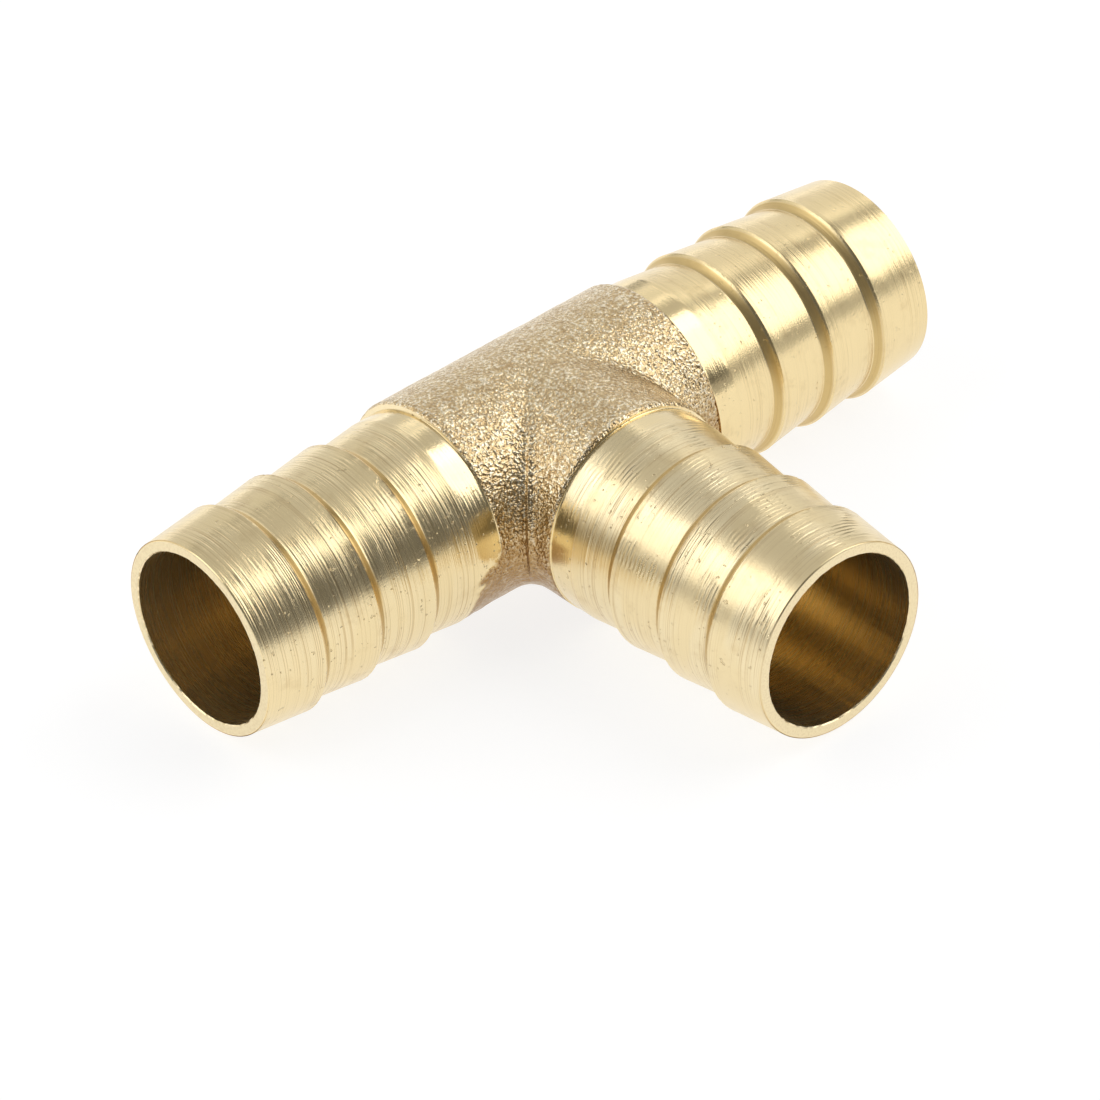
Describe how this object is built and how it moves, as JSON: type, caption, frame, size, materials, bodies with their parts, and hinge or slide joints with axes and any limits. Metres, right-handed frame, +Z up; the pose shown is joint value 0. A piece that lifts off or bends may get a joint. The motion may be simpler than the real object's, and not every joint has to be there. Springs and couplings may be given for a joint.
{
  "type": "barbed tee connector",
  "caption": "Brass hose-barb tee: a forged body with a machined tail on each arm, ringed with barbs that grip a hose pushed over it, and one clear bore through run and branch.",
  "frame": {"origin": "under the middle of the bounding box, on the surface that the tee lies on", "axes": "+X along the run, -Y along the branch, +Z up from the surface that the barb crests rest on"},
  "size_m": [0.0782, 0.0492, 0.0205],
  "materials": {
    "forged_brass": "rough, grit-blasted forging skin, warm beige-brown",
    "turned_brass": "bright as turned, with fine rings from the tool"
  },
  "bodies": {
    "root": {"tee_body": "forged_brass", "run_tail_left": "turned_brass", "run_tail_right": "turned_brass", "branch_tail": "turned_brass"}
  },
  "joints": []
}
